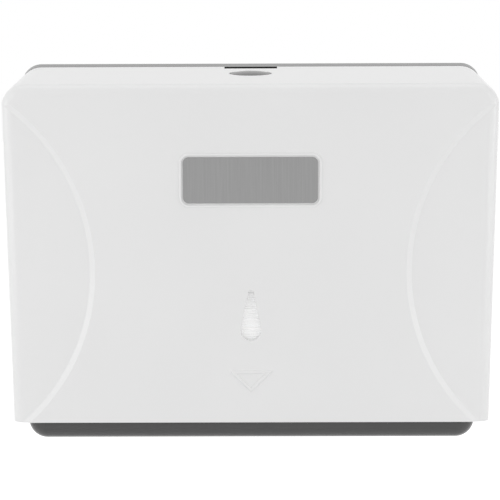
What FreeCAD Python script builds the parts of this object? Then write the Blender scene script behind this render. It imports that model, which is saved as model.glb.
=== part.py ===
import FreeCAD, Part
import math
import os
import re
import Sketcher

# Wall-mounted dispenser for folded paper towels: a rear housing that is screwed to the wall, a front cover
# that tips forward on two pins low down at the back, and a button on top that lets go of the housing.
# Frame: origin on the wall face at the centre of the four screw holes, X to the right as the user sees it,
# Y into the wall, so the front is at minus Y, and Z up.

SIZES = {
    # rear plate and overall size
    "plate_width": 270,
    "plate_height": 205,
    "plate_thickness": 3,
    "plate_corner": 11.5,
    "plate_foot_corner": 12,
    "rim_depth": 12,
    "rim_draft": 0.4,
    # front cover, a shell that is open to the rear and below
    "depth": 102,
    "rim_drop": 1.3,
    "cover_gap": 0.5,
    "top_fall": 5.5,
    "front_lean": 6,
    "side_taper": 2.8,
    "side_draft": 0.2,
    "corner_round": 12.5,
    "edge_round": 5.5,
    "cover_wall": 2.5,
    # curved side fields, one step lower than the middle of the front
    "relief_waist": 176,
    "relief_radius": 113,
    "relief_drop": 8.2,
    "relief_step": 1.2,
    "relief_bevel": 3,
    # tray under the towels
    "tray_show": 11.2,
    "tray_inset": 10.4,
    "tray_setback": 4,
    "tray_height": 18.5,
    "tray_wall": 2.5,
    "tray_round": 10.5,
    "outlet_side_margin": 29.6,
    "outlet_rear_margin": 25,
    "outlet_front_margin": 23,
    "outlet_round": 10,
    "collar_width": 2.5,
    "collar_height": 3,
    # wall screw holes
    "screw_inset": 23,
    "screw_spacing_up": 100,
    "screw_hole_radius": 2.5,
    "screw_boss_radius": 8,
    "screw_boss_height": 2,
    "screw_countersink": 2,
    # rim that locates the cover, and fins that keep the towels in the middle
    "locating_gap": 0.5,
    "locating_wall": 2,
    "locating_height": 5,
    "locating_foot_gap": 17.3,
    "fin_wall": 2.5,
    "fin_reach": 50,
    "fin_foot_gap": 14,
    "fin_height": 90,
    "fin_slope": 20,
    # hinge
    "hinge_round": 6.5,
    "pin_radius": 2,
    "pin_fit": 0.02,
    "pin_play": 0.06,
    "ear_width": 5.6,
    "ear_gap": 0.8,
    "pin_head_radius": 3.2,
    "pin_head_height": 1.6,
    "pin_bite": 0.6,
    # strike that the button's nose hooks behind
    "strike_width": 31,
    "strike_wall": 2.5,
    "strike_bar": 2,
    "strike_ahead": 9,
    "strike_drop": 10,
    "strike_height": 5.5,
    # release button with its arm, spring and bracket
    "button_radius": 11.5,
    "button_gap": 0.5,
    "button_setback": 47.5,
    "button_proud": 1.2,
    "button_dome_radius": 55,
    "button_wall": 2.2,
    "button_roof": 3,
    "button_collar_wall": 2.2,
    "button_travel": 4,
    "arm_drop": 1.5,
    "arm_thickness": 3.5,
    "arm_side_gap": 0.5,
    "flange_size": 30,
    "nose_catch": 2.5,
    "nose_thickness": 4,
    "nose_gap": 0.5,
    "nose_slope": 2.5,
    "collar_stop_gap": 0.4,
    "key_slot_width": 30.6,
    "key_slot_depth": 9.5,
    "key_slot_lead": 5,
    "key_slot_lip": 0.3,
    "bracket_length": 60,
    "bracket_width": 14,
    "bracket_thickness": 2.5,
    "bracket_corner": 4.6,
    "bracket_clearance": 2.5,
    "bracket_screw_spacing": 48,
    "post_radius": 4,
    "pilot_depth": 12,
    "small_screw_radius": 1.4,
    "small_screw_play": 0.05,
    "small_screw_slack": 0.4,
    "small_screw_head_radius": 3,
    "small_screw_head_height": 2,
    "small_screw_length": 12,
    "driver_slot_width": 0.9,
    "driver_slot_length": 3.6,
    "driver_slot_depth": 1.1,
    "spring_radius": 5,
    "spring_wire_radius": 0.45,
    "spring_turns": 6,
    "spring_peg_radius": 3.8,
    "spring_peg_height": 3,
    "seat_gap": 0.1,
    # blank name plate in its recess
    "label_width": 73.2,
    "label_height": 25.2,
    "label_drop": 51.9,
    "label_thickness": 0.4,
    "label_corner": 3.2,
    "label_gap": 1,
    "bead_width": 1.2,
    "bead_height": 0.6,
    "bead_round": 0.5,
    # drop-shaped sight window
    "window_height": 51.7,
    "window_foot_radius": 5.6,
    "window_tip_radius": 1.6,
    "window_rise": 21,
    # raised outline of a triangle that points down
    "mark_width": 24.4,
    "mark_length": 12.4,
    "mark_height": 29.4,
    "mark_line": 1.9,
    "mark_rise": 0.6,
    "mark_bevel": 0.5,
    "mark_root": 1,
    # folded towels
    "towel_side_gap": 3.5,
    "towel_height": 127,
    "towel_rear_gap": 0.5,
    "towel_tray_gap": 1.7,
    "towel_cover_gap": 0.6,
    "towel_shoulder_gap": 2,
    "towel_shoulder_slope": 6,
    "towel_edge_round": 2,
    "fold_pitch": 5,
    "fold_depth": 0.6,
    "fold_height": 0.8,
}

# Levels and places that several pieces share, worked out from the sizes above. A cutter starts OVERCUT
# outside of what it cuts.
RIM = "(plate_height / 2 - rim_drop)"
FRONT_TOP = "(plate_height / 2 - rim_drop - top_fall)"
FOOT = "(tray_show - plate_height / 2)"
COVER_BACK = "(rim_depth + cover_gap)"
RIM_WALL = "(cover_wall + locating_gap)"
LEAN = f"atan(front_lean / ({FRONT_TOP} - {FOOT}))"
SLOPE = f"(top_fall / (depth - {COVER_BACK}))"
HINGE_IN = "(rim_depth + cover_gap + hinge_round)"
HINGE_UP = "(tray_show - plate_height / 2 + hinge_round)"
TRAY_FLOOR = "(tray_wall - plate_height / 2)"
TRAY_TOP = "(tray_height - plate_height / 2)"
TRAY_HALF = "(plate_width / 2 - tray_inset)"
TRAY_DEPTH = "(depth - front_lean - tray_setback)"
TOWEL_HALF = f"({TRAY_HALF} - ear_width - fin_wall - towel_side_gap)"
BUTTON_TOP = f"({RIM} - {SLOPE} * (button_setback - {COVER_BACK}))"
CEILING = f"({BUTTON_TOP} - cover_wall / 2)"
OVERCUT = "(cover_wall / 2)"
STRIKE_REACH = "(rim_depth + strike_ahead)"
NOSE_FRONT = f"({STRIKE_REACH} - strike_bar - nose_gap)"
STRIKE_FOOT = f"({RIM} - strike_drop)"
LABEL_LEVEL = f"({FRONT_TOP} - label_drop)"
ARM_TOP = f"({STRIKE_FOOT} - arm_drop)"
NOSE_TOP = f"({STRIKE_FOOT} + nose_catch)"
BRACKET_TOP = f"({ARM_TOP} - arm_thickness - button_travel - bracket_clearance)"
X_AXIS = FreeCAD.Vector(1, 0, 0)
Z_AXIS = FreeCAD.Vector(0, 0, 1)

doc = FreeCAD.newDocument("towel_dispenser")
sizes = doc.addObject("Spreadsheet::Sheet", "sizes")
for row, (alias, number) in enumerate(SIZES.items(), start=1):
    sizes.set(f"A{row}", str(number))
    sizes.setAlias(f"A{row}", alias)
doc.recompute()


def size(alias):
    return float(sizes.get(alias))


def in_sheet(text):
    """Put the sheet's name before each alias in an expression."""
    return re.sub(r"[a-z_]+", lambda found: ("sizes." if found[0] in SIZES else "") + found[0], text)


def bind(thing, **places):
    """Bind properties to the sheet; a double underscore in a keyword stands for a dot."""
    for place, text in places.items():
        thing.setExpression(place.replace("__", "."), in_sheet(text))


def new_body(name):
    return doc.addObject("PartDesign::Body", name)


def new_sketch(body, name, plane, lift="0", up="0", tilt=None):
    """Sketch on one of the body's own origin planes, lifted off it, raised in it, and tilted about X."""
    sketch = body.newObject("Sketcher::SketchObject", name)
    support = [feature for feature in body.Origin.OriginFeatures if feature.Role == plane][0]
    sketch.AttachmentSupport = [(support, "")]
    sketch.MapMode = "FlatFace"
    if tilt:
        sketch.AttachmentOffset = FreeCAD.Placement(FreeCAD.Vector(), FreeCAD.Rotation(X_AXIS, 1))
        bind(sketch, AttachmentOffset__Rotation__Angle=tilt)
    bind(sketch, AttachmentOffset__Base__y=up, AttachmentOffset__Base__z=lift)
    return sketch


def drive(sketch, kind, elements, text):
    """Add a dimension to a sketch and bind it to the sheet."""
    number = sketch.addConstraint(Sketcher.Constraint(kind, *elements, 1.0))
    sketch.setExpression(f"Constraints[{number}]", in_sheet(text))


def draw_polygon(sketch, corners):
    """Closed outline whose corners are each placed from the sketch's origin."""
    first = sketch.GeometryCount
    count = len(corners)
    turns = [2 * math.pi * index / count for index in range(count + 1)]
    reach = size("corner_round")
    spots = [FreeCAD.Vector(reach * math.cos(turn), reach * math.sin(turn), 0) for turn in turns]
    for start, end in zip(spots, spots[1:]):
        sketch.addGeometry(Part.LineSegment(start, end), False)
    for index, (across, up) in enumerate(corners):
        line = first + index
        sketch.addConstraint(Sketcher.Constraint("Coincident", line, 2, first + (index + 1) % count, 1))
        drive(sketch, "DistanceX", (-1, 1, line, 1), across)
        drive(sketch, "DistanceY", (-1, 1, line, 1), up)


def draw_rectangle(sketch, left, right, low, high):
    draw_polygon(sketch, [(left, low), (right, low), (right, high), (left, high)])


def draw_circle(sketch, across, up, radius):
    circle = sketch.addGeometry(Part.Circle(FreeCAD.Vector(10, 10, 0), Z_AXIS, 5), False)
    drive(sketch, "DistanceX", (-1, 1, circle, 3), across)
    drive(sketch, "DistanceY", (-1, 1, circle, 3), up)
    drive(sketch, "Radius", (circle,), radius)


def extrude(body, name, kind, sketch, length, both_ways=False, reverse=False):
    """Pad or pocket of a sketch."""
    feature = body.newObject("PartDesign::" + kind, name)
    feature.Profile = sketch
    feature.Reversed = reverse
    feature.Midplane = both_ways
    bind(feature, Length=length)
    sketch.Visibility = False
    doc.recompute()
    return feature


def edges_where(shape, test):
    return [f"Edge{index}" for index, edge in enumerate(shape.Edges, start=1) if test(edge)]


def dress(body, name, kind, base, test, **places):
    """Fillet or chamfer of the edges that pass a test."""
    doc.recompute()
    feature = body.newObject("PartDesign::" + kind, name)
    feature.Base = (base, edges_where(base.Shape, test))
    bind(feature, **places)
    doc.recompute()
    return feature


def runs_along(edge, direction):
    """True for a straight edge along the direction."""
    if len(edge.Vertexes) < 2:
        return False
    way = edge.Vertexes[1].Point - edge.Vertexes[0].Point
    return way.Length > 0.01 and abs(way.dot(direction)) > 0.9999 * edge.Length


def middle(edge):
    return edge.valueAt((edge.FirstParameter + edge.LastParameter) / 2)


def mirrored(body, name, originals):
    """Copy of features on the other side of the middle plane."""
    mirror = body.newObject("PartDesign::Mirrored", name)
    mirror.Originals = originals
    mirror.MirrorPlane = ([f for f in body.Origin.OriginFeatures if f.Role == "YZ_Plane"][0], [""])
    body.Tip = mirror
    doc.recompute()
    return mirror


def join(body, name, tool, kind):
    """Fuse another body to this one, or cut it away."""
    result = body.newObject("PartDesign::Boolean", name)
    result.Group = [tool]
    result.Type = kind
    body.Tip = result
    doc.recompute()
    return result


def cylinder(name, radius, height, across="0", forward="0", up="0", along="Z"):
    """Round bar that starts at the given place and runs along Z or X."""
    bar = doc.addObject("Part::Cylinder", name)
    if along == "X":
        bar.Placement = FreeCAD.Placement(FreeCAD.Vector(), FreeCAD.Rotation(FreeCAD.Vector(0, 1, 0), 90))
    bind(bar, Radius=radius, Height=height)
    bind(bar, Placement__Base__x=across, Placement__Base__y=f"0 - {forward}", Placement__Base__z=up)
    return bar


def block(name, across, forward, up):
    """Box between two values each way: across, forward of the wall, and up."""
    box = doc.addObject("Part::Box", name)
    bind(box, Length=f"{across[1]} - ({across[0]})", Placement__Base__x=across[0])
    bind(box, Width=f"{forward[1]} - ({forward[0]})", Placement__Base__y=f"0 - ({forward[1]})")
    bind(box, Height=f"{up[1]} - ({up[0]})", Placement__Base__z=up[0])
    return box


def on_front(thing, across, level, out):
    """Stand a shape on the leaning front: its X across, its Y up the front, its Z out of it."""
    up = f"(({level} - {FRONT_TOP}) / cos({LEAN}))"
    thing.Placement = FreeCAD.Placement(FreeCAD.Vector(), FreeCAD.Rotation(X_AXIS, 91))
    bind(thing, Placement__Rotation__Angle=f"90 deg + {LEAN}", Placement__Base__x=across)
    bind(thing, Placement__Base__y=f"0 - depth - sin({LEAN}) * {up} - cos({LEAN}) * ({out})")
    bind(thing, Placement__Base__z=f"{FRONT_TOP} + cos({LEAN}) * {up} - sin({LEAN}) * ({out})")


def combine(kind, name, *shapes):
    """Boolean of Part shapes: Cut takes a base and a tool, MultiFuse takes any number."""
    result = doc.addObject("Part::" + kind, name)
    if kind == "Cut":
        result.Base, result.Tool = shapes
    else:
        result.Shapes = list(shapes)
    doc.recompute()
    return result


def half_width(level, inset="0"):
    """Half the width of plate and cover at the rear, which narrow towards the foot."""
    return f"(plate_width / 2 - side_taper * ({RIM} - ({level})) / ({RIM} - {FOOT}) - {inset})"


def draw_trapezoid(sketch, inset, top, foot, top_level, foot_level, draft="0"):
    """Outline that narrows downwards, given by its levels in the sketch and in the object."""
    top_half = f"{half_width(top_level, inset)} - {draft}"
    foot_half = f"{half_width(foot_level, inset)} - {draft}"
    corners = [(f"0 - ({foot_half})", foot), (foot_half, foot), (top_half, top), (f"0 - ({top_half})", top)]
    draw_polygon(sketch, corners)


# The rear housing is one grey moulding: tray with the outlet, pan, locating rim, strike, ears and fins.

def tray_form(body, name, inset, headroom):
    """Block with well rounded edges at its front, foot and sides, taken in by inset."""
    outline = new_sketch(body, name + "_outline", "XZ_Plane")
    half = f"({TRAY_HALF} - {inset})"
    low = f"({inset} - plate_height / 2)"
    draw_rectangle(outline, f"0 - {half}", half, low, f"tray_height + {headroom} - plate_height / 2")
    form = extrude(body, name, "Pad", outline, f"{TRAY_DEPTH} - {inset}")
    box = form.Shape.BoundBox
    at_foot = lambda edge: abs(middle(edge).z - box.ZMin) < 0.01 and middle(edge).y < -0.01
    upright = lambda edge: runs_along(edge, Z_AXIS) and abs(middle(edge).y - box.YMin) < 0.01
    return dress(body, name + "_rounding", "Fillet", form, lambda edge: at_foot(edge) or upright(edge),
                 Radius=f"tray_round - {inset}")


def tray_shell(body):
    """Open tray whose rear side becomes part of the pan."""
    tray_form(body, "tray", "0", "0")
    inside = new_body("tray_inside")
    tray_form(inside, "tray_room", "tray_wall", OVERCUT)
    return join(body, "tray_hollow", inside, "Cut")


def round_long_edges(body, name, base, above, radius):
    """Fillets of a form's two edges that run to the front, above or below the middle."""
    side = 1 if above else -1
    long_edge = lambda edge: abs(edge.Vertexes[0].Y - edge.Vertexes[-1].Y) > size("rim_depth") / 2
    return dress(body, name, "Fillet", base, lambda edge: long_edge(edge) and side * middle(edge).z > 0,
                 Radius=radius)


def pan(body):
    """Shallow pan against the wall, a little narrower at the foot, whose top goes on in the cover's slope."""
    outside = new_body("pan")
    rear = new_sketch(outside, "pan_rear", "XZ_Plane")
    top, foot = "plate_height / 2", "0 - plate_height / 2"
    draw_trapezoid(rear, "0", top, foot, top, foot)
    front = new_sketch(outside, "pan_front", "XZ_Plane", lift="rim_depth")
    draw_trapezoid(front, "rim_draft", RIM, f"{foot} + rim_draft", RIM, foot)
    loft = outside.newObject("PartDesign::AdditiveLoft", "pan_loft")
    loft.Profile = rear
    loft.Sections = [front]
    loft.Ruled = True
    doc.recompute()
    top_round = round_long_edges(outside, "pan_top_corners", loft, True, "plate_corner")
    round_long_edges(outside, "pan_foot_corners", top_round, False, "plate_foot_corner")
    inside = new_body("pan_inside")
    room = new_sketch(inside, "pan_room_outline", "XZ_Plane", lift="plate_thickness")
    draw_trapezoid(room, RIM_WALL, f"{RIM} - {RIM_WALL}", f"{foot} + {RIM_WALL}", RIM, foot)
    room_pad = extrude(inside, "pan_room", "Pad", room, f"rim_depth - plate_thickness + {OVERCUT}")
    corners = round_long_edges(inside, "pan_room_top", room_pad, True, f"corner_round - {RIM_WALL}")
    round_long_edges(inside, "pan_room_foot", corners, False, f"plate_foot_corner - {RIM_WALL}")
    join(outside, "pan_hollow", inside, "Cut")
    return join(body, "pan_on_tray", outside, "Fuse")


def rim_form(body, name, inset, foot, extra="0"):
    """Block with the cover's outline, taken in by inset, that stands on the plate."""
    outline = new_sketch(body, name + "_outline", "XZ_Plane", lift="plate_thickness")
    top = f"{RIM} - {inset}"
    draw_trapezoid(outline, inset, top, foot, top, foot)
    form = extrude(body, name, "Pad", outline, f"rim_depth - plate_thickness + locating_height + {extra}")
    corner = lambda edge: runs_along(edge, FreeCAD.Vector(0, 1, 0)) and middle(edge).z > 0
    return dress(body, name + "_corners", "Fillet", form, corner, Radius=f"corner_round - {inset}")


def locating_rim(body):
    """Inner lip of the pan's wall that the cover closes over, broken behind the key slot."""
    rim = new_body("locating_rim")
    rim_form(rim, "rim_outside", RIM_WALL, f"{FOOT} + locating_foot_gap")
    room = new_body("rim_room")
    rim_form(room, "rim_inside", f"({RIM_WALL} + locating_wall)",
             f"{FOOT} + locating_foot_gap - {OVERCUT}", OVERCUT)
    join(rim, "rim_hollow", room, "Cut")
    gap = new_sketch(rim, "rim_gap_outline", "XZ_Plane", lift="plate_thickness")
    half = "(strike_width / 2 + strike_wall)"
    draw_rectangle(gap, f"0 - {half}", half, STRIKE_FOOT, "plate_height / 2")
    extrude(rim, "rim_gap", "Pocket", gap, f"rim_depth + locating_height + {OVERCUT}", reverse=True)
    return join(body, "rim_on_plate", rim, "Fuse")


def key_lead(body):
    """Slant under the edge of the pan's wall behind the key slot, which leads the key's blade inwards."""
    outline = new_sketch(body, "key_lead_outline", "YZ_Plane")
    edge, high, low = "0 - rim_depth", f"{RIM} - key_slot_lip", f"{RIM} - {RIM_WALL} - {OVERCUT}"
    draw_polygon(outline, [(f"{edge} - {OVERCUT}", low), (f"{edge} + key_slot_lead", low), (edge, high),
                           (f"{edge} - {OVERCUT}", high)])
    return extrude(body, "key_lead", "Pocket", outline, "key_slot_width", both_ways=True)


def strike(body):
    """Loop on the plate, under the cover's key slot, that the nose of the button's arm hooks behind."""
    outline = new_sketch(body, "strike_outline", "XY_Plane", lift=STRIKE_FOOT)
    outer, inner = "strike_width / 2", "strike_width / 2 - strike_wall"
    root, bar, front = "0 - plate_thickness / 2", f"strike_bar - {STRIKE_REACH}", f"0 - {STRIKE_REACH}"
    draw_polygon(outline, [(f"0 - {outer}", root), (f"0 - {outer}", front), (outer, front), (outer, root),
                           (inner, root), (inner, bar), (f"0 - ({inner})", bar), (f"0 - ({inner})", root)])
    return extrude(body, "strike", "Pad", outline, "strike_height")


def hinge_ears(body):
    """Ears beside the tray for the two hinge pins."""
    start = f"{TRAY_HALF} - ear_width"
    outline = new_sketch(body, "ear_outline", "YZ_Plane", lift=start)
    draw_rectangle(outline, f"0 - {HINGE_IN} - hinge_round", "0 - plate_thickness / 2",
                   f"{HINGE_UP} - hinge_round", f"{HINGE_UP} + hinge_round")
    ear = extrude(body, "ear", "Pad", outline, "ear_width")
    mirrored(body, "other_ear", [ear])
    bore = new_sketch(body, "pin_hole_outline", "YZ_Plane")
    draw_circle(bore, f"0 - {HINGE_IN}", HINGE_UP, "pin_radius + pin_fit")
    return extrude(body, "pin_holes", "Pocket", bore, "plate_width", both_ways=True)


def towel_fins(body):
    """Two upright fins that keep the folded towels in the middle."""
    outline = new_sketch(body, "fin_outline", "YZ_Plane", lift=f"{TRAY_HALF} - ear_width - fin_wall")
    root, foot = "0 - plate_thickness / 2", f"({TRAY_TOP} + fin_foot_gap)"
    draw_polygon(outline, [(root, foot), (root, f"{foot} + fin_height"),
                           ("fin_slope - fin_reach", f"{foot} + fin_height"),
                           ("0 - fin_reach", f"{foot} + fin_height - fin_slope"), ("0 - fin_reach", foot)])
    fin = extrude(body, "fin", "Pad", outline, "fin_wall")
    return mirrored(body, "other_fin", [fin])


def outlet_form(name, margin, low, height):
    """Upright block with rounded corners, larger than the outlet by margin all round."""
    form = new_body(name)
    outline = new_sketch(form, name + "_outline", "XY_Plane", lift=low)
    across = f"({TRAY_HALF} - outlet_side_margin + {margin})"
    draw_rectangle(outline, f"0 - {across}", across, f"outlet_front_margin - {TRAY_DEPTH} - {margin}",
                   f"{margin} - outlet_rear_margin")
    pad = extrude(form, name + "_pad", "Pad", outline, height)
    dress(form, name + "_corners", "Fillet", pad, lambda edge: runs_along(edge, Z_AXIS),
          Radius=f"outlet_round + {margin}")
    return form


def towel_outlet(body):
    """Slot in the tray's floor that the next towel is pulled through; its collar carries the stack."""
    collar = outlet_form("outlet_collar", "collar_width", f"{TRAY_FLOOR} - tray_wall / 2",
                         "collar_height + tray_wall / 2")
    slot = outlet_form("outlet_slot", "0", f"0 - plate_height / 2 - {OVERCUT}",
                       f"collar_height + tray_wall + 2 * {OVERCUT}")
    join(body, "collar_on_floor", collar, "Fuse")
    return join(body, "outlet", slot, "Cut")


def wall_screw_holes(body):
    """Four countersunk holes in low round bosses."""
    for name, kind, radius in (("screw_bosses", "Pad", "screw_boss_radius"),
                               ("screw_holes", "Pocket", "screw_hole_radius")):
        lift = "plate_thickness" if kind == "Pad" else "0"
        outline = new_sketch(body, name + "_outline", "XZ_Plane", lift=lift)
        for side in ("", "0 - "):
            for end in ("", "0 - "):
                across = f"{side}({TOWEL_HALF} - screw_inset)"
                draw_circle(outline, across, f"{end}screw_spacing_up / 2", radius)
        length = "screw_boss_height" if kind == "Pad" else "plate_thickness + screw_boss_height"
        feature = extrude(body, name, kind, outline, length, reverse=kind == "Pocket")
    face = -size("plate_thickness") - size("screw_boss_height")
    girth = 2 * math.pi * size("screw_hole_radius")
    rim = lambda edge: abs(middle(edge).y - face) < 0.01 and abs(edge.Length - girth) < 0.01
    return dress(body, "countersinks", "Chamfer", feature, rim, Size="screw_countersink")


def rear_housing():
    body = new_body("rear_housing")
    tray_shell(body)
    pan(body)
    locating_rim(body)
    key_lead(body)
    strike(body)
    hinge_ears(body)
    towel_fins(body)
    towel_outlet(body)
    wall_screw_holes(body)
    return body


# The front cover is one white moulding. Its walls follow the same outline inside and outside.

def cover_block(name, inset, sink):
    """Solid with the cover's outline, taken in all round by inset and with its front set back by sink."""
    body = new_body(name)
    rear = new_sketch(body, name + "_rear", "XZ_Plane", lift=COVER_BACK)
    draw_trapezoid(rear, inset, f"{RIM} - {inset}", FOOT, f"{RIM} - {inset}", FOOT)
    back = f"(({inset} + {sink}) * cos({LEAN}))"
    front = new_sketch(body, name + "_front", "XZ_Plane", lift=f"depth - {back}",
                       up=f"{FRONT_TOP} + ({inset} + {sink}) * sin({LEAN})", tilt=LEAN)
    foot_in_sketch = f"({FOOT} - {FRONT_TOP} - ({inset} + {sink}) * sin({LEAN})) / cos({LEAN})"
    top_in_sketch = f"0 - ({inset}) - {SLOPE} * {sink}"
    draw_trapezoid(front, inset, top_in_sketch, foot_in_sketch, f"{RIM} - {inset}", FOOT, draft="side_draft")
    loft = body.newObject("PartDesign::AdditiveLoft", name + "_loft")
    loft.Profile = rear
    loft.Sections = [front]
    loft.Ruled = True
    doc.recompute()
    long_edge = lambda edge: abs(edge.Vertexes[0].Y - edge.Vertexes[1].Y) > size("depth") / 2
    corners = dress(body, name + "_corners", "Fillet", loft,
                    lambda edge: long_edge(edge) and middle(edge).z > 0, Radius=f"corner_round - {inset}")
    front_face = min(corners.Shape.Faces, key=lambda face: face.CenterOfMass.y)
    above_foot = size("tray_show") - size("plate_height") / 2 + size("edge_round") / 4
    rim = [edge for edge in front_face.Edges if middle(edge).z > above_foot]
    return dress(body, name + "_edge", "Fillet", corners,
                 lambda edge: any(edge.isSame(other) for other in rim), Radius=f"edge_round - {inset}")


def side_field_cutters(name, grow):
    """Two discs with a bevelled rim that cut the curved side fields out of the raised front."""
    radius = f"(relief_radius + {grow})"
    above, below = "relief_step", "depth / 8"
    level = f"(({FRONT_TOP} + {FOOT}) / 2 - relief_drop)"
    discs = []
    for side, sign in (("left", "0 - "), ("right", "")):
        across = f"{sign}(relief_waist / 2 + relief_radius)"
        cone = doc.addObject("Part::Cone", f"{name}_{side}_bevel")
        bind(cone, Radius1=radius, Radius2=f"{radius} + relief_bevel * (relief_step + {above}) / relief_step")
        bind(cone, Height=f"relief_step + {above}")
        on_front(cone, across, level, f"0 - relief_step - {grow}")
        core = doc.addObject("Part::Cylinder", f"{name}_{side}_core")
        bind(core, Radius=radius, Height=below)
        on_front(core, across, level, f"0 - relief_step - {grow} - {below} + relief_step / 100")
        discs += [cone, core]
    return combine("MultiFuse", name, *discs)


def cover_form(name, inset):
    """The cover's whole form: two side fields, and a middle that stands one step prouder."""
    sides = cover_block(name + "_side_level", inset, "relief_step")
    raised = cover_block(name + "_raised_level", inset, "0")
    panel = combine("Cut", name + "_panel", raised, side_field_cutters(name + "_side_fields", inset))
    return combine("MultiFuse", name, sides, panel)


def rounded_block(name, width, height, thickness, corner):
    """Flat block with rounded corners, centred on its own Z axis, standing on its own XY plane."""
    body = new_body(name)
    outline = new_sketch(body, name + "_outline", "XY_Plane")
    draw_rectangle(outline, f"0 - {width} / 2", f"{width} / 2", f"0 - {height} / 2", f"{height} / 2")
    pad = extrude(body, name + "_pad", "Pad", outline, thickness)
    dress(body, name + "_corners", "Fillet", pad, lambda edge: runs_along(edge, Z_AXIS), Radius=corner)
    return body


def round_top(body, name, kind, **places):
    """Fillet or chamfer of all the edges of a body's upper side."""
    top = body.Tip.Shape.BoundBox.ZMax
    return dress(body, name, kind, body.Tip, lambda edge: edge.BoundBox.ZMin > top - 0.01, **places)


def label_frame():
    """Rounded bead around the name plate's recess, and the recess itself as a cutter."""
    room_width, room_height = "(label_width + 2 * label_gap)", "(label_height + 2 * label_gap)"
    bead_size = (f"({room_width} + 2 * bead_width)", f"({room_height} + 2 * bead_width)")
    bead = rounded_block("label_bead", *bead_size, "cover_wall / 2 + bead_height",
                         "label_corner + label_gap + bead_width")
    round_top(bead, "label_bead_edge", "Fillet", Radius="bead_round")
    on_front(bead, "0", LABEL_LEVEL, "0 - cover_wall / 2")
    depth = "label_thickness + 2 * bead_height"
    recess = rounded_block("label_recess", room_width, room_height, depth, "label_corner + label_gap")
    on_front(recess, "0", LABEL_LEVEL, "0 - label_thickness")
    return bead, recess


def sight_window():
    """Drop-shaped hole through the front that shows how many towels are left."""
    body = new_body("sight_window")
    sketch = new_sketch(body, "sight_window_outline", "XY_Plane")
    foot_radius, tip_radius = size("window_foot_radius"), size("window_tip_radius")
    rise = size("window_rise")
    turn = math.asin((foot_radius - tip_radius) / rise)
    tip = Part.Circle(FreeCAD.Vector(0, rise, 0), Z_AXIS, tip_radius)
    foot = Part.Circle(FreeCAD.Vector(0, 0, 0), Z_AXIS, foot_radius)
    sketch.addGeometry(Part.ArcOfCircle(tip, turn, math.pi - turn), False)
    sketch.addGeometry(Part.ArcOfCircle(foot, math.pi - turn, 2 * math.pi + turn), False)
    ends = [arc.value(arc.FirstParameter) for arc in sketch.Geometry[:2]]
    others = [arc.value(arc.LastParameter) for arc in sketch.Geometry[:2]]
    sketch.addGeometry(Part.LineSegment(others[0], ends[1]), False)
    sketch.addGeometry(Part.LineSegment(others[1], ends[0]), False)
    for joint in ((0, 2, 2, 1), (2, 2, 1, 1), (1, 2, 3, 1), (3, 2, 0, 1)):
        sketch.addConstraint(Sketcher.Constraint("Tangent", *joint))
    for arc, radius, up in ((0, "window_tip_radius", "window_rise"), (1, "window_foot_radius", "0")):
        drive(sketch, "DistanceX", (-1, 1, arc, 3), "0")
        drive(sketch, "DistanceY", (-1, 1, arc, 3), up)
        drive(sketch, "Radius", (arc,), radius)
    extrude(body, "sight_window_pad", "Pad", sketch, "4 * cover_wall")
    on_front(body, "0", f"({FOOT} + window_height)", "0 - 2 * cover_wall")
    return body


def pull_mark():
    """Raised outline of a triangle that points down: a bevelled line of even width."""
    body = new_body("pull_mark")
    sketch = new_sketch(body, "pull_mark_outline", "XY_Plane")
    draw_polygon(sketch, [("0 - mark_width / 2", "0"), ("mark_width / 2", "0"), ("0", "0 - mark_length")])
    slant = "sqrt(pow(mark_length; 2) + pow(mark_width / 2; 2))"
    share = f"(1 - mark_line * (1 + {slant} / (mark_width / 2)) / mark_length)"
    draw_polygon(sketch, [(f"0 - mark_width / 2 * {share}", "0 - mark_line"),
                          (f"mark_width / 2 * {share}", "0 - mark_line"),
                          ("0", f"0 - mark_line - mark_length * {share}")])
    extrude(body, "pull_mark_pad", "Pad", sketch, "mark_root + mark_rise")
    round_top(body, "pull_mark_bevels", "Chamfer", Size="mark_bevel")
    on_front(body, "0", f"({FOOT} + mark_height)", "0 - mark_root")
    return body


def hinge_boss(side, sign):
    """Boss inside the cover's side wall, and the blind hole in it for the hinge pin."""
    start = f"({TRAY_HALF} + ear_gap)"
    wall = f"({half_width(HINGE_UP)} - side_draft * {HINGE_IN} / depth - cover_wall)"
    length = f"({wall} + cover_wall / 2 - {start})"
    bore_length = f"({wall} + pin_bite - {start} + {OVERCUT})"
    boss_at = start if sign > 0 else f"0 - {start} - {length}"
    bore_at = f"{start} - {OVERCUT}" if sign > 0 else f"0 - {start} + {OVERCUT} - {bore_length}"
    boss = cylinder("hinge_boss_" + side, "hinge_round", length, boss_at, HINGE_IN, HINGE_UP, "X")
    bore = cylinder("hinge_bore_" + side, "pin_radius + pin_play", bore_length, bore_at, HINGE_IN, HINGE_UP,
                    "X")
    return boss, bore


def hinge_corner_cutter():
    """Rounds the cover's rear foot about the hinge axis, so that it clears the plate as it swings."""
    wide = ("0 - plate_width", "plate_width")
    corner = block("hinge_corner_block", wide, ("0", HINGE_IN), ("0 - plate_height", HINGE_UP))
    roller = cylinder("hinge_corner_roller", "hinge_round", "2 * plate_width", "0 - plate_width", HINGE_IN,
                      HINGE_UP, "X")
    return combine("Cut", "hinge_corner", corner, roller)


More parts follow.
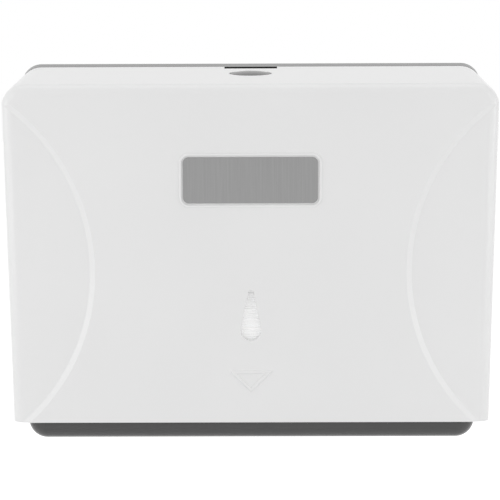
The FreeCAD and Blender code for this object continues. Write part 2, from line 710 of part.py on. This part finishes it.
def front_cover():
    outer = cover_form("cover_outside", "0")
    inner = cover_form("cover_inside", "cover_wall")
    shell = combine("Cut", "cover_shell", outer, inner)
    bead, recess = label_frame()
    left_boss, left_bore = hinge_boss("left", -1)
    right_boss, right_bore = hinge_boss("right", 1)
    collar_foot = f"({ARM_TOP} + collar_stop_gap)"
    guide = cylinder("button_guide", "button_radius + button_gap + button_collar_wall",
                     f"{CEILING} - {collar_foot}", "0", "button_setback", collar_foot)
    added = [bead, pull_mark(), left_boss, right_boss, guide]
    removed = [recess, sight_window(), left_bore, right_bore, hinge_corner_cutter()]
    removed.append(cylinder("button_hole", "button_radius + button_gap", "plate_height / 4", "0",
                            "button_setback", ARM_TOP))
    half_slot = "key_slot_width / 2"
    removed.append(block("key_slot", (f"0 - {half_slot}", half_slot),
                         ("0", f"({COVER_BACK} + key_slot_depth)"), (STRIKE_FOOT, "plate_height")))
    for side, sign in (("left", "0 - "), ("right", "")):
        across = f"{sign}bracket_screw_spacing / 2"
        added.append(cylinder("bracket_post_" + side, "post_radius", f"{CEILING} - {BRACKET_TOP}", across,
                              "button_setback", BRACKET_TOP))
        removed.append(cylinder("pilot_hole_" + side, "small_screw_radius + small_screw_play",
                                f"pilot_depth + {OVERCUT}", across, "button_setback",
                                f"{BRACKET_TOP} - {OVERCUT}"))
    body = combine("MultiFuse", "cover_with_bosses", shell, *added)
    cutters = combine("MultiFuse", "cover_cutters", *removed)
    cover = combine("Cut", "front_cover", body, cutters)
    cover.Label = "front_cover"
    return cover


def name_plate():
    """Blank satin plate, stuck to the floor of its recess and flush with the front."""
    plate = rounded_block("name_plate", "label_width", "label_height", "label_thickness", "label_corner")
    on_front(plate, "0", LABEL_LEVEL, "0 - label_thickness")
    return plate


def latch_button():
    """Grey domed button, hollow from below, with an arm to the rear that ends in an upright nose."""
    body = new_body("latch_button")
    foot = f"({ARM_TOP} - arm_thickness)"
    disc = new_sketch(body, "button_outline", "XY_Plane", lift=foot)
    draw_circle(disc, "0", "0 - button_setback", "button_radius")
    extrude(body, "button_barrel", "Pad", disc, f"{RIM} + button_proud - {foot}")
    dome = new_body("button_dome")
    ball = dome.newObject("PartDesign::AdditiveSphere", "button_ball")
    drop = "(button_dome_radius - button_proud)"
    bind(ball, Radius="button_dome_radius")
    bind(ball, Placement__Base__y=f"0 - button_setback + sin(atan({SLOPE})) * {drop}")
    bind(ball, Placement__Base__z=f"{BUTTON_TOP} - cos(atan({SLOPE})) * {drop}")
    join(body, "button_top", dome, "Common")
    flange = new_sketch(body, "flange_outline", "XY_Plane", lift=foot)
    draw_rectangle(flange, "0 - flange_size / 2", "flange_size / 2", "0 - button_setback - flange_size / 2",
                   "flange_size / 2 - button_setback")
    extrude(body, "flange", "Pad", flange, "arm_thickness")
    half_arm = "(strike_width / 2 - strike_wall - arm_side_gap)"
    arm = new_sketch(body, "arm_outline", "YZ_Plane")
    nose_rear = f"(nose_thickness - {NOSE_FRONT})"
    draw_polygon(arm, [("0 - button_setback", foot), (nose_rear, foot),
                       (nose_rear, f"{NOSE_TOP} - nose_slope"), (f"{nose_rear} - nose_slope", NOSE_TOP),
                       (f"0 - {NOSE_FRONT}", NOSE_TOP), (f"0 - {NOSE_FRONT}", ARM_TOP),
                       ("0 - button_setback", ARM_TOP)])
    extrude(body, "arm", "Pad", arm, f"2 * {half_arm}", both_ways=True)
    hollow = new_sketch(body, "hollow_outline", "XY_Plane", lift=foot)
    draw_circle(hollow, "0", "0 - button_setback", "button_radius - button_wall")
    extrude(body, "hollow", "Pocket", hollow, f"{BUTTON_TOP} - button_roof - {foot}", reverse=True)
    return body


def latch_bracket():
    """Flat bar under the button that carries the spring and is screwed to two posts of the cover."""
    body = new_body("latch_bracket")
    base = f"({BRACKET_TOP} - bracket_thickness)"
    outline = new_sketch(body, "bracket_outline", "XY_Plane", lift=base)
    draw_rectangle(outline, "0 - bracket_length / 2", "bracket_length / 2",
                   "0 - button_setback - bracket_width / 2", "bracket_width / 2 - button_setback")
    bar = extrude(body, "bar", "Pad", outline, "bracket_thickness")
    dress(body, "bar_corners", "Fillet", bar, lambda edge: runs_along(edge, Z_AXIS), Radius="bracket_corner")
    peg = new_sketch(body, "peg_outline", "XY_Plane", lift=BRACKET_TOP)
    draw_circle(peg, "0", "0 - button_setback", "spring_peg_radius")
    extrude(body, "peg", "Pad", peg, "spring_peg_height")
    holes = new_sketch(body, "bracket_hole_outline", "XY_Plane", lift=BRACKET_TOP)
    for sign in ("", "0 - "):
        draw_circle(holes, f"{sign}bracket_screw_spacing / 2", "0 - button_setback",
                    "small_screw_radius + small_screw_slack")
    extrude(body, "bracket_holes", "Pocket", holes, "bracket_thickness")
    return body


def bracket_screw(side, sign):
    """Small pan-head screw with a cross slot, driven upwards through the bracket into its post."""
    name = "bracket_screw_" + side
    across = f"{sign}bracket_screw_spacing / 2"
    head_top = f"({BRACKET_TOP} - bracket_thickness)"
    head_foot = f"({head_top} - small_screw_head_height)"
    head = cylinder(name + "_head", "small_screw_head_radius", "small_screw_head_height", across,
                    "button_setback", head_foot)
    half_head = "small_screw_head_height / 2"
    shank = cylinder(name + "_shank", "small_screw_radius", f"small_screw_length + {half_head}", across,
                     "button_setback", f"{head_top} - {half_head}")
    slots = []
    for way, half_x, half_y in (("across", "driver_slot_length / 2", "driver_slot_width / 2"),
                                ("along", "driver_slot_width / 2", "driver_slot_length / 2")):
        slots.append(block(f"{name}_slot_{way}", (f"({across} - {half_x})", f"({across} + {half_x})"),
                           (f"(button_setback - {half_y})", f"(button_setback + {half_y})"),
                           (f"({head_foot} - {OVERCUT})", f"({head_foot} + driver_slot_depth)")))
    solid = combine("MultiFuse", name + "_blank", head, shank)
    cross = combine("MultiFuse", name + "_cross", *slots)
    return combine("Cut", name, solid, cross)


def latch_spring():
    """Compression spring between the bracket and the underside of the button."""
    body = new_body("latch_spring")
    low = f"({BRACKET_TOP} + spring_wire_radius + seat_gap)"
    high = f"({BUTTON_TOP} - button_roof - spring_wire_radius - seat_gap)"
    wire = new_sketch(body, "spring_wire", "XZ_Plane")
    draw_circle(wire, "spring_radius", "0", "spring_wire_radius")
    coil = body.newObject("PartDesign::AdditiveHelix", "coil")
    coil.Profile = wire
    coil.ReferenceAxis = (wire, ["V_Axis"])
    coil.Mode = 0
    bind(coil, Height=f"{high} - {low}", Pitch=f"({high} - {low}) / spring_turns")
    bind(body, Placement__Base__y="0 - button_setback", Placement__Base__z=low)
    doc.recompute()
    return body


def hinge_pin(side, sign):
    """Headed steel pin, pressed outwards through the ear into the cover's boss."""
    name = "hinge_pin_" + side
    inside = f"({TRAY_HALF} - ear_width)"
    wall = f"({half_width(HINGE_UP)} - side_draft * {HINGE_IN} / depth - cover_wall)"
    length = f"({wall} - {inside} + pin_head_height / 2)"
    if sign > 0:
        head_at, shank_at = f"{inside} - pin_head_height", f"{inside} - pin_head_height / 2"
    else:
        head_at, shank_at = f"0 - {inside}", f"0 - {wall}"
    head = cylinder(name + "_head", "pin_head_radius", "pin_head_height", head_at, HINGE_IN, HINGE_UP, "X")
    shank = cylinder(name + "_shank", "pin_radius", length, shank_at, HINGE_IN, HINGE_UP, "X")
    return combine("MultiFuse", name, head, shank)


def towel_stack():
    """Folded towels: narrow enough for the tray at the foot, and bulging to the cover's front above it."""
    body = new_body("towel_stack")
    foot = f"({TRAY_FLOOR} + collar_height)"
    rear = "(0 - plate_thickness - screw_boss_height - towel_rear_gap)"
    top = f"({foot} + towel_height)"
    shoulder_foot = f"({TRAY_TOP} + towel_shoulder_gap)"
    shoulder_top = f"({shoulder_foot} + towel_shoulder_slope)"
    low_front = f"(towel_tray_gap + tray_wall - {TRAY_DEPTH})"
    cover_front = f"(depth - relief_step - tan({LEAN}) * ({FRONT_TOP} - {shoulder_top}))"
    high_front = f"(towel_cover_gap + cover_wall - {cover_front})"
    profile = new_sketch(body, "towel_profile", "YZ_Plane")
    draw_polygon(profile, [(rear, foot), (low_front, foot), (low_front, shoulder_foot),
                           (high_front, shoulder_top), (high_front, top), (rear, top)])
    pack = extrude(body, "towel_pack", "Pad", profile, f"2 * {TOWEL_HALF}", both_ways=True)
    box = pack.Shape.BoundBox
    dress(body, "towel_edges", "Fillet", pack, lambda edge: abs(middle(edge).z - box.ZMax) < 0.01,
          Radius="towel_edge_round")
    ring = new_sketch(body, "fold_outline", "XY_Plane", lift=f"{shoulder_top} + fold_pitch")
    half, inner = f"({TOWEL_HALF} + fold_pitch)", f"({TOWEL_HALF} - fold_depth)"
    draw_rectangle(ring, f"0 - {half}", half, "0 - depth", "0")
    draw_rectangle(ring, f"0 - {inner}", inner, f"{high_front} + fold_depth", f"{rear} - fold_depth")
    fold = extrude(body, "fold", "Pocket", ring, "fold_height", reverse=True)
    folds = body.newObject("PartDesign::LinearPattern", "folds")
    folds.Originals = [fold]
    folds.Direction = (ring, ["N_Axis"])
    room = box.ZMax - size("towel_edge_round") - fold.Shape.BoundBox.ZMin - size("tray_height")
    count = int(room / size("fold_pitch"))
    folds.Occurrences = count
    bind(folds, Length=f"fold_pitch * {count - 1}")
    body.Tip = folds
    doc.recompute()
    return body


pieces = [
    rear_housing(),
    front_cover(),
    name_plate(),
    towel_stack(),
    latch_button(),
    latch_spring(),
    latch_bracket(),
    bracket_screw("left", "0 - "),
    bracket_screw("right", ""),
    hinge_pin("left", -1),
    hinge_pin("right", 1),
]
doc.recompute()

for thing in doc.Objects:
    if "Invalid" in thing.State or "Error" in thing.State:
        raise RuntimeError(f"{thing.Label} did not build: {thing.State}")
os.makedirs("parts", exist_ok=True)
for piece in pieces:
    if piece.Shape.isNull() or not piece.Shape.isValid():
        raise RuntimeError(f"{piece.Label} has no valid shape")
for piece in pieces:
    piece.Shape.exportStep(f"parts/{piece.Label}.step")
    box = piece.Shape.BoundBox
    ends = [f"{low:.1f}..{high:.1f}" for low, high in
            ((box.XMin, box.XMax), (box.YMin, box.YMax), (box.ZMin, box.ZMax))]
    print(f"{piece.Label}: {piece.Shape.Volume / 1000:.2f} cm3, {len(piece.Shape.Solids)} solid, {ends}")
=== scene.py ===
import math
import random

import bpy
from mathutils import Matrix, Vector


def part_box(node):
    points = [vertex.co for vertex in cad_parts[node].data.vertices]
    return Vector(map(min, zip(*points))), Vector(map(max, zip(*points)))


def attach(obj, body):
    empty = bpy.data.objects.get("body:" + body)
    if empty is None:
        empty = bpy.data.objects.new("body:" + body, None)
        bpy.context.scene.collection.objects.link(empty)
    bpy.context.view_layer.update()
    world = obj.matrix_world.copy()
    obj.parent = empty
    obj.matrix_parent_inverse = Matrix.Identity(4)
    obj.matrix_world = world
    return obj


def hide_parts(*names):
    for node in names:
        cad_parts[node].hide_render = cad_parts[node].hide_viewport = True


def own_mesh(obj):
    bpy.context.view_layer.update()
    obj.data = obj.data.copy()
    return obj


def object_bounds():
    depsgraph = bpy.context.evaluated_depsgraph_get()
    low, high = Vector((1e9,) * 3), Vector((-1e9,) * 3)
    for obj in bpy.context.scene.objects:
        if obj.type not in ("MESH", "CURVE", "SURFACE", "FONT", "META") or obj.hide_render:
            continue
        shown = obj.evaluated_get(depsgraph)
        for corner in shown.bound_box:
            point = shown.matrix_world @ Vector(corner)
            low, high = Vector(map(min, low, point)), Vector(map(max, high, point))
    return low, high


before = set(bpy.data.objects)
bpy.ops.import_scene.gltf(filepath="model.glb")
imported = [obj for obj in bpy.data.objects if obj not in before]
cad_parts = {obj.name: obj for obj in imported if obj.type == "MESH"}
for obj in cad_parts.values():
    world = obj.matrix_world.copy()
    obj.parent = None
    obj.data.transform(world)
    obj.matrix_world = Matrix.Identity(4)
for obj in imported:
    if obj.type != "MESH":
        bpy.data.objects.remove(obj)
cad_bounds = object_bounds()


# Rear housing. One injection moulding in dark grey ABS: plate, tray, locating rim, fins and strike. It is
# screwed to the wall. The mould left an even satin skin with a fine spark grain, which mirrors pale
# surroundings at its rounded lower edge.

def linear(code):
    """Linear colour of an sRGB hex code."""
    parts = [int(code[place:place + 2], 16) / 255 for place in (0, 2, 4)]
    return [part / 12.92 if part <= 0.04045 else ((part + 0.055) / 1.055) ** 2.4 for part in parts] + [1]


def add(owner, kind, links=None, **settings):
    """Add a shader node to a material or a world. Settings are its properties or its inputs; links name or
    number the inputs that other nodes' outputs feed."""
    node = owner.node_tree.nodes.new("ShaderNode" + kind)
    for name, value in settings.items():
        if hasattr(node, name):
            setattr(node, name, value)
        else:
            node.inputs[name.replace("_", " ")].default_value = value
    for name, output in (links or {}).items():
        owner.node_tree.links.new(output, node.inputs[name])
    return node


def new_material(name, **uniform):
    """Material with one Principled shader whose uniform values are set on its own sockets."""
    material = bpy.data.materials.new(name)
    material.use_nodes = True
    shader = material.node_tree.nodes["Principled BSDF"]
    for socket, value in uniform.items():
        shader.inputs[socket.replace("_", " ")].default_value = value
    return material, shader


def feed(material, shader, **outputs):
    """Link other nodes' outputs to the shader's sockets."""
    for socket, output in outputs.items():
        material.node_tree.links.new(output, shader.inputs[socket.replace("_", " ")])


def finish_node(node, material):
    """Give a CAD piece its material in every slot."""
    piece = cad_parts[node]
    for place in piece.material_slots:
        place.material = material
    if not piece.material_slots:
        piece.data.materials.append(material)


def moulded_abs(name, colour, roughness, grain_mm, grain_depth_mm):
    """ABS as moulded. The eye sees a spark grain, drawn several times as coarse as the real one so that it
    shows, and faint clouds of tone and gloss where the plastic flowed."""
    flow_mm, flow_tone, flow_gloss = 60, 1.03, 0.03
    material, shader = new_material(name, IOR=1.53)
    place = add(material, "TexCoord").outputs["Object"]
    grain = add(material, "TexNoise", {"Vector": place}, Scale=1000 / grain_mm, Detail=2.0, Roughness=0.6)
    flow = add(material, "TexNoise", {"Vector": place}, Scale=1000 / flow_mm, Detail=1.0)
    pale = [part * flow_tone for part in colour[:3]] + [1]
    tone = add(material, "MixRGB", {"Fac": flow.outputs["Fac"]}, Color1=colour, Color2=pale)
    gloss = add(material, "MapRange", {"Value": flow.outputs["Fac"]},
                To_Min=roughness - flow_gloss, To_Max=roughness + flow_gloss)
    bump = add(material, "Bump", {"Height": grain.outputs["Fac"]},
               Strength=0.35, Distance=grain_depth_mm / 1000)
    feed(material, shader, Base_Color=tone.outputs["Color"], Roughness=gloss.outputs["Result"],
         Normal=bump.outputs["Normal"])
    return material


grey_abs = moulded_abs("grey_abs_spark_grain", linear("3e3e3e"), roughness=0.24, grain_mm=0.7,
                       grain_depth_mm=0.012)
finish_node("rear_housing", grey_abs)


# Towels. About two hundred folded towels of white crepe tissue, packed by machine and shown as half as many
# sheets: soft rounded folds at the front, slightly out of line. The lowest lie between the tray's walls, and
# those above them have slumped forward.

def crepe_paper():
    """Bleached tissue. The eye sees crepe ridges, drawn wider than real ones so that they show, on a matt
    white lifted a little by a faint painted glow, which brightens the paper out of the shade behind the
    window."""
    crepe_mm, blotch_mm, ridge_mm = 1.2, 18, 0.2
    # The emission set here is a painted glow: it lights the paper, though the paper is no lamp.
    material, shader = new_material("bleached_crepe_tissue_painted_glow", Roughness=0.9, IOR=1.45, Subsurface_Weight=0.6,
                                    Subsurface_Scale=0.0006, Subsurface_Radius=(1.0, 1.0, 1.0),
                                    Emission_Color=(1, 1, 1, 1), Emission_Strength=0.12)
    place = add(material, "TexCoord").outputs["Object"]
    stretch = add(material, "Mapping", {"Vector": place}, Scale=(0.12, 1.0, 1.0))
    crepe = add(material, "TexNoise", {"Vector": stretch.outputs["Vector"]},
                Scale=1000 / crepe_mm, Detail=3.0)
    blotch = add(material, "TexNoise", {"Vector": place}, Scale=1000 / blotch_mm)
    tone = add(material, "MixRGB", {"Fac": blotch.outputs["Fac"]},
               Color1=linear("f1f1f1"), Color2=linear("f6f6f6"))
    bump = add(material, "Bump", {"Height": crepe.outputs["Fac"]}, Strength=0.5, Distance=ridge_mm / 1000)
    feed(material, shader, Base_Color=tone.outputs["Color"], Normal=bump.outputs["Normal"])
    return material


def new_piece(name, points, faces, material):
    """Object with smooth faces and with sharp edges where they meet at a clear angle."""
    mesh = bpy.data.meshes.new(name)
    mesh.from_pydata(points, [], faces)
    mesh.materials.append(material)
    mesh.shade_smooth()
    mesh.set_sharp_from_angle(angle=math.radians(50))
    piece = bpy.data.objects.new(name, mesh)
    bpy.context.scene.collection.objects.link(piece)
    return piece


def folded_towels():
    """Sheets lying on each other, each a flat loop that is rounded where it is folded."""
    low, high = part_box("towel_stack")
    sheet_height = 0.0013
    count = int((high[2] - low[2]) / sheet_height)
    pitch = (high[2] - low[2]) / count
    half = pitch * 0.497
    fold_depth = half * 0.5
    # The tray holds the lowest sheets back. Over the shoulder's height the others come out, lean and belly.
    tray_top, tray_front, shoulder = -0.082, -0.0878, 0.006
    lean, crown = 0.032, 0.0013
    # Each fold waves a little along its length, and no two sheets end at the same place.
    fold_reach, wave, wave_step, wave_shift = 0.01, 0.00012, 0.9, 1.7
    front_luck, back_luck, side_luck = (0.0, 0.0002), (0.0, 0.0012), (0.0002, 0.0016)
    columns, arc_steps = 13, 6
    luck = random.Random(7)
    points, faces = [], []
    for level in range(count):
        base = low[2] + level * pitch
        middle = base + half
        share = min(max((base - tray_top) / shoulder, 0.0), 1.0)
        slump = lean * (base - tray_top) * share
        front = tray_front + (low[1] - tray_front) * share - slump + luck.uniform(*front_luck)
        back = high[1] - luck.uniform(*back_luck)
        left = low[0] + luck.uniform(*side_luck)
        right = high[0] - luck.uniform(*side_luck)
        profile = []
        for step in range(arc_steps + 1):
            turn = math.pi / 2 + math.pi * step / arc_steps
            profile.append((front + fold_depth * (1 + math.cos(turn)), middle + half * math.sin(turn)))
        for step in range(arc_steps + 1):
            turn = -math.pi / 2 + math.pi * step / arc_steps
            profile.append((back - half * (1 - math.cos(turn)), middle + half * math.sin(turn)))
        first = len(points)
        for column in range(columns):
            across = left + (right - left) * column / (columns - 1)
            rise = wave * math.sin(column * wave_step + level * wave_shift)
            bulge = crown * share * (1 - (across / high[0]) ** 2)
            for along, up in profile:
                in_fold = along < front + fold_reach
                points.append((across, along - bulge * in_fold, up + rise * in_fold))
        ring = len(profile)
        for column in range(columns - 1):
            for step in range(ring):
                here = first + column * ring + step
                beside = first + column * ring + (step + 1) % ring
                faces.append((here, beside, beside + ring, here + ring))
        faces.append(tuple(first + step for step in range(ring))[::-1])
        faces.append(tuple(first + (columns - 1) * ring + step for step in range(ring)))
    return new_piece("folded_towels", points, faces, crepe_paper())


towels = folded_towels()
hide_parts("towel_stack")
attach(towels, "housing")


# Hinge pins. Zinc-plated steel with an upset head, pressed through the housing's ears; the plating is pale
# with a faint blue-grey bloom.

def plated_steel():
    """Zinc plating. The eye sees bright metal, patchy from the bath and a little rough."""
    patch_mm = 1.5
    material, shader = new_material("zinc_plated_steel", Metallic=1.0, Base_Color=linear("c3c6c8"))
    place = add(material, "TexCoord").outputs["Object"]
    patch = add(material, "TexNoise", {"Vector": place}, Scale=1000 / patch_mm, Detail=3.0)
    gloss = add(material, "MapRange", {"Value": patch.outputs["Fac"]}, To_Min=0.28, To_Max=0.46)
    feed(material, shader, Roughness=gloss.outputs["Result"])
    return material


zinc = plated_steel()
for side in ("left", "right"):
    finish_node("hinge_pin_" + side, zinc)


# Front cover. One injection moulding in white ABS from a finely polished mould, with two side fields one step
# lower than the middle; it hangs on the two pins and tips forward.

white_abs = moulded_abs("white_abs_satin", linear("e9e9e9"), roughness=0.30, grain_mm=0.9,
                        grain_depth_mm=0.006)
finish_node("front_cover", white_abs)


# Name plate. Blank label foil with a satin silver face, stuck in its recess in the cover; the brushing runs
# upright.

def brushed_foil():
    """Aluminised foil. The eye sees long upright brush lines that spread the reflections sideways; real ones
    are much finer, and these are as coarse as they need to be to show."""
    line_mm, line_depth_mm = 0.9, 0.05
    material, shader = new_material("brushed_silver_foil", Metallic=0.85, Specular_IOR_Level=0.5)
    place = add(material, "TexCoord").outputs["Object"]
    drawn = add(material, "Mapping", {"Vector": place}, Scale=(1.0, 0.02, 0.02))
    lines = add(material, "TexNoise", {"Vector": drawn.outputs["Vector"]},
                Scale=1000 / line_mm, Detail=4.0, Roughness=0.7)
    tone = add(material, "MixRGB", {"Fac": lines.outputs["Fac"]},
               Color1=linear("8b8b8b"), Color2=linear("9f9f9f"))
    gloss = add(material, "MapRange", {"Value": lines.outputs["Fac"]}, To_Min=0.36, To_Max=0.52)
    bump = add(material, "Bump", {"Height": lines.outputs["Fac"]},
               Strength=0.2, Distance=line_depth_mm / 1000)
    feed(material, shader, Base_Color=tone.outputs["Color"], Roughness=gloss.outputs["Result"],
         Normal=bump.outputs["Normal"])
    return material


finish_node("name_plate", brushed_foil())


# Release button. Moulded in the housing's grey ABS, with a low dome for the finger; its arm reaches back to a
# nose that hooks behind the housing's strike.

finish_node("latch_button", grey_abs)


# Button spring. A compression spring of drawn stainless wire, wound in six turns and closed at both ends. It
# stands on the bracket, pushes the button up and shortens as the button goes down.

def spring_wire():
    """Drawn stainless wire. The eye sees bright metal with faint uneven streaks from the die."""
    streak_mm = 0.4
    material, shader = new_material("drawn_spring_wire", Metallic=1.0, Base_Color=linear("b9b9b6"))
    place = add(material, "TexCoord").outputs["Object"]
    lines = add(material, "TexNoise", {"Vector": place}, Scale=1000 / streak_mm, Detail=2.0)
    gloss = add(material, "MapRange", {"Value": lines.outputs["Fac"]}, To_Min=0.2, To_Max=0.34)
    feed(material, shader, Roughness=gloss.outputs["Result"])
    return material


def coil_spring(low, high):
    """Round wire wound to fill the box between two corners, its first and its last turn closed."""
    wire_radius = 0.00045
    turns, closed = 6, 0.8
    steps, sides = 32, 10
    centre = (low[1] + high[1]) / 2
    coil_radius = (high[1] - low[1]) / 2 - wire_radius
    open_height = high[2] - low[2] - 2 * wire_radius * (1 + 2 * closed)
    lead = open_height / (turns - 2 * closed)
    points, faces = [], []
    for place in range(turns * steps + 1):
        turn = place / steps
        shut = min(turn, closed) + max(turn - turns + closed, 0.0)
        up = low[2] + wire_radius + shut * 2 * wire_radius + (turn - shut) * lead
        angle = 2 * math.pi * turn
        for side in range(sides):
            around = 2 * math.pi * side / sides
            reach = coil_radius + wire_radius * math.cos(around)
            points.append((reach * math.cos(angle), centre + reach * math.sin(angle),
                           up + wire_radius * math.sin(around)))
    for place in range(turns * steps):
        for side in range(sides):
            here = place * sides + side
            beside = place * sides + (side + 1) % sides
            faces.append((here, here + sides, beside + sides, beside))
    faces.append(tuple(range(sides)))
    faces.append(tuple(turns * steps * sides + side for side in range(sides))[::-1])
    return new_piece("coil_spring", points, faces, spring_wire())


spring_low, spring_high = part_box("latch_spring")
spring = coil_spring(spring_low, spring_high)
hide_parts("latch_spring")
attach(spring, "cover")
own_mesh(spring)


# Spring bracket. Moulded in the same grey ABS; it bridges two posts inside the cover, under the button, and
# carries the spring.

finish_node("latch_bracket", grey_abs)


# Bracket screws. Two small zinc-plated steel screws, driven through the bracket into the cover's posts; they
# have the hinge pins' finish.

for side in ("left", "right"):
    finish_node("bracket_screw_" + side, zinc)


# Floor and light. The dispenser hangs on a wall in use, and its open cover swings below the tray, so the
# floor lies lower than both. A wide soft box above, one at each side, two small ones low in front and two
# high up.

def looked_at(owner):
    """One for the rays by which the camera sees this, straight, mirrored or through something clear, and
    nought for the light that it gives."""
    path = add(owner, "LightPath")
    seen = add(owner, "Math", {0: path.outputs["Is Camera Ray"], 1: path.outputs["Is Glossy Ray"]},
               operation="MAXIMUM")
    clear = add(owner, "Math", {0: seen.outputs[0], 1: path.outputs["Is Transmission Ray"]},
                operation="MAXIMUM")
    return clear.outputs[0]


def soft_box(name, spot, target, width, height, watts):
    """Area lamp at a spot, turned towards its target."""
    lamp = bpy.data.lights.new(name, "AREA")
    lamp.shape = "RECTANGLE"
    lamp.size, lamp.size_y = width, height
    lamp.energy = watts
    box = bpy.data.objects.new(name, lamp)
    box.location = spot
    box.rotation_euler = (Vector(target) - Vector(spot)).to_track_quat("-Z", "Y").to_euler()
    bpy.context.scene.collection.objects.link(box)


world = bpy.data.worlds.new("white_studio")
bpy.context.scene.world = world
world.use_nodes = True
lit = world.node_tree.nodes["Background"]
lit.inputs["Color"].default_value = (0.66, 0.66, 0.66, 1)
white = add(world, "Background", Color=(1, 1, 1, 1))
sky = add(world, "MixShader", {"Fac": looked_at(world), 1: lit.outputs[0], 2: white.outputs[0]})
world.node_tree.links.new(sky.outputs[0], world.node_tree.nodes["World Output"].inputs["Surface"])

floor_glow = 0.4
floor_white, floor_shader = new_material("floor_paper", Base_Color=linear("f2f2f2"), Roughness=0.9,
                                         Emission_Color=(1, 1, 1, 1))
glow = add(floor_white, "Math", {0: looked_at(floor_white)}, operation="MULTIPLY")
glow.inputs[1].default_value = floor_glow
feed(floor_white, floor_shader, Emission_Strength=glow.outputs[0])

floor_drop, floor_reach = 0.09, 3
floor_level = cad_bounds[0][2] - floor_drop
corners = [(-floor_reach, -floor_reach, floor_level), (floor_reach, -floor_reach, floor_level),
           (floor_reach, floor_reach, floor_level), (-floor_reach, floor_reach, floor_level)]
floor = new_piece("floor", corners, [(0, 1, 2, 3)], floor_white)

soft_box("soft_box_above", (0.0, 0.0, 1.4), (0.0, -0.05, 0.0), width=1.4, height=1.0, watts=3.7)
soft_box("soft_box_left", (-1.25, -0.5, 0.1), (0.0, -0.1, 0.0), width=0.5, height=0.5, watts=2.0)
soft_box("soft_box_right", (1.25, -0.5, 0.1), (0.0, -0.1, 0.0), width=0.5, height=0.5, watts=1.9)
soft_box("low_box_left", (-0.42, -0.45, -0.055), (-0.03, -0.1, -0.05), width=0.15, height=0.07, watts=0.13)
soft_box("low_box_right", (0.42, -0.45, -0.055), (0.03, -0.1, -0.05), width=0.15, height=0.07, watts=0.12)
soft_box("edge_box_left", (-0.75, -0.95, 0.45), (-0.1, -0.1, 0.1), width=0.1, height=0.1, watts=0.8)
soft_box("edge_box_right", (0.75, -0.95, 0.45), (0.1, -0.1, 0.1), width=0.1, height=0.1, watts=0.5)


# Camera. A long lens a metre away, eight degrees above the front and a hair to the right of it; it isn't held
# quite level.

camera = bpy.data.cameras.new("camera")
camera.sensor_width = 36
camera.lens = 137.9
camera.shift_x = -0.0012
eye = bpy.data.objects.new("camera", camera)
bpy.context.scene.collection.objects.link(eye)
bpy.context.scene.camera = eye
aim = Vector((0.0, -0.102, 0.0059))
distance, rise, turn, roll = 1.041, math.radians(8), math.radians(0.3), math.radians(-0.2)
towards_eye = Vector((math.sin(turn) * math.cos(rise), -math.cos(turn) * math.cos(rise), math.sin(rise)))
eye.location = aim + distance * towards_eye
facing = (aim - eye.location).to_track_quat("-Z", "Y").to_matrix() @ Matrix.Rotation(roll, 3, "Z")
eye.rotation_euler = facing.to_euler()

bpy.context.scene.view_settings.view_transform = "Standard"
